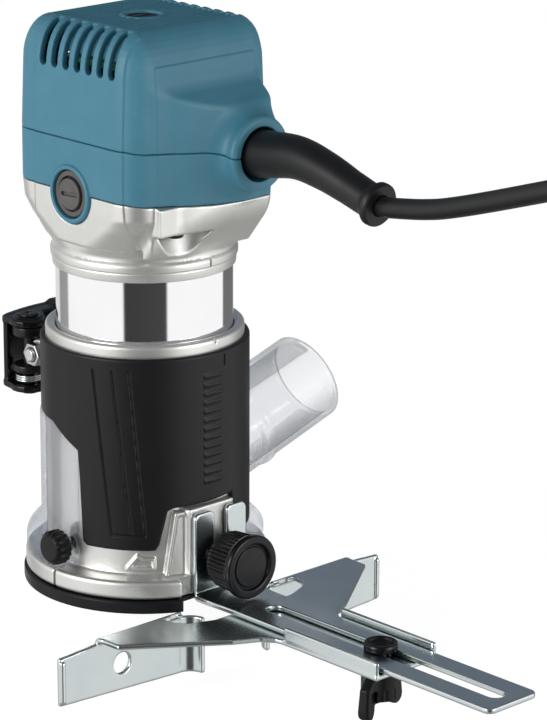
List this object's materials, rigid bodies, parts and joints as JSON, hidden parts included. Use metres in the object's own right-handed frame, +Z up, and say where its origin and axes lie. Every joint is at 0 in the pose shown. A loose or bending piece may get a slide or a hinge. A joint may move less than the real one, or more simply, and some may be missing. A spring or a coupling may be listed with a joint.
{
  "type": "trim router",
  "caption": "Corded trim router: motor unit in a clamping base with a clear chip nozzle, cam lever, and a straight guide with a slotted bar and fence.",
  "frame": {"origin": "in the plane of the sole, on its material, 32 mm behind the motor axis, which stands at x = 0, y = -0.032 m", "axes": "+Z up along the motor axis, -Y to the front where the guide and the cord are, +X to the side of the chip outlet"},
  "size_m": [0.1667, 0.2556, 0.2346],
  "materials": {
    "cast_aluminium": "bead-blasted die casting",
    "polished_aluminium": "turned and polished",
    "zinc_plate": "bright zinc-plated sheet steel",
    "steel": "bright steel",
    "black_steel": "black oxide",
    "lamination_steel": "stacked laminations",
    "brass": "pressed sheet",
    "copper": "enamelled copper",
    "teal_plastic": "fine moulded texture",
    "black_plastic": "moulded nylon",
    "gloss_black": "satin to gloss black",
    "grip_rubber": "soft matte elastomer",
    "cord_rubber": "smooth cord sheath",
    "clear_plastic": "clear polycarbonate",
    "carbon": "pressed graphite",
    "circuit_board": "solder mask"
  },
  "bodies": {
    "base": {"base_casting": "cast_aluminium", "grip_sleeve": "grip_rubber", "sub_base": "black_plastic", "sub_base_screw_1": "steel", "sub_base_screw_2": "steel", "sub_base_screw_3": "steel", "sub_base_screw_4": "steel", "dust_nozzle": "clear_plastic", "clamp_bolt": "steel", "clamp_nut": "steel", "cam_pin": "black_steel", "lever_spring": "zinc_plate"},
    "motor_unit": {"motor_can": "polished_aluminium", "depth_rack": "steel", "bearing_housing": "cast_aluminium", "housing_screw_1": "steel", "housing_screw_2": "steel", "housing_screw_3": "steel", "housing_screw_4": "steel", "lower_housing": "teal_plastic", "top_cover": "teal_plastic", "brush_cap_left": "black_plastic", "brush_holder_left": "brass", "carbon_brush_left": "carbon", "brush_spring_left": "steel", "brush_cap_right": "black_plastic", "brush_holder_right": "brass", "carbon_brush_right": "carbon", "brush_spring_right": "steel", "stator_core": "lamination_steel", "field_coil_front": "copper", "field_coil_back": "copper", "lower_bearing": "steel", "upper_bearing": "steel", "cord_guard": "cord_rubber", "power_cord": "cord_rubber", "cord_clamp": "black_plastic", "cord_clamp_screw_1": "steel", "cord_clamp_screw_2": "steel", "switch_body": "black_plastic", "controller_board": "circuit_board"},
    "rotor": {"rotor_shaft": "steel", "rotor_core": "lamination_steel", "armature_winding_upper": "copper", "armature_winding_lower": "copper", "commutator": "copper", "cooling_fan": "black_plastic", "collet_cone": "steel"},
    "collet_nut": {"collet_nut": "steel"},
    "depth_pinion": {"pinion_shaft": "steel", "depth_knob": "black_plastic"},
    "cam_lever": {"cam_lever": "gloss_black"},
    "nozzle_thumbscrew": {"nozzle_thumbscrew": "black_plastic"},
    "guide_knob": {"guide_knob": "gloss_black"},
    "guide_bracket": {"guide_bracket": "zinc_plate"},
    "guide_plate": {"guide_plate": "zinc_plate", "guide_bolt": "black_steel"},
    "wing_nut": {"wing_nut": "black_plastic"},
    "switch_rocker": {"switch_rocker": "gloss_black"},
    "speed_dial": {"speed_dial": "black_plastic"}
  },
  "joints": [
    {"name": "depth_slide", "type": "slide", "parent": "base", "child": "motor_unit", "axis": [0, 0, 1], "range_m": [-0.022, 0.018]},
    {"name": "spindle_spin", "type": "hinge", "parent": "motor_unit", "child": "rotor", "pos_m": [0, -0.032, 0.09], "axis": [0, 0, 1], "continuous": true},
    {"name": "collet_nut_turn", "type": "hinge", "parent": "rotor", "child": "collet_nut", "pos_m": [0, -0.032, 0.03], "axis": [0, 0, 1], "range_deg": [0, 360]},
    {"name": "depth_knob_turn", "type": "hinge", "parent": "base", "child": "depth_pinion", "pos_m": [0.02828, -0.00372, 0.08], "axis": [0.7071, -0.7071, 0], "range_deg": [-200, 244]},
    {"name": "cam_lever_swing", "type": "hinge", "parent": "base", "child": "cam_lever", "pos_m": [-0.0135, 0.019, 0.077], "axis": [0, 0, 1], "range_deg": [0, 90]},
    {"name": "nozzle_thumbscrew_turn", "type": "hinge", "parent": "base", "child": "nozzle_thumbscrew", "pos_m": [-0.043, -0.032, 0.0202], "axis": [-1, 0, 0], "range_deg": [0, 360]},
    {"name": "guide_knob_turn", "type": "hinge", "parent": "base", "child": "guide_knob", "pos_m": [0, -0.082, 0.017], "axis": [0, -1, 0], "range_deg": [0, 360]},
    {"name": "guide_height_slide", "type": "slide", "parent": "base", "child": "guide_bracket", "axis": [0, 0, 1], "range_m": [-0.012, 0]},
    {"name": "guide_reach_slide", "type": "slide", "parent": "guide_bracket", "child": "guide_plate", "axis": [0, -1, 0], "range_m": [0, 0.054]},
    {"name": "wing_nut_turn", "type": "hinge", "parent": "guide_plate", "child": "wing_nut", "pos_m": [0, -0.156, -0.01], "axis": [0, 0, 1], "range_deg": [0, 360]},
    {"name": "switch_rocker_tilt", "type": "hinge", "parent": "motor_unit", "child": "switch_rocker", "pos_m": [0, -0.0005, 0.1875], "axis": [1, 0, 0], "range_deg": [0, 16]},
    {"name": "speed_dial_turn", "type": "hinge", "parent": "motor_unit", "child": "speed_dial", "pos_m": [0, -0.032, 0.209], "axis": [0, 0, 1], "range_deg": [0, 270]}
  ],
  "couplings": [
    {"joint": "depth_knob_turn", "follows": "depth_slide", "rad_per_m": -192.31}
  ]
}
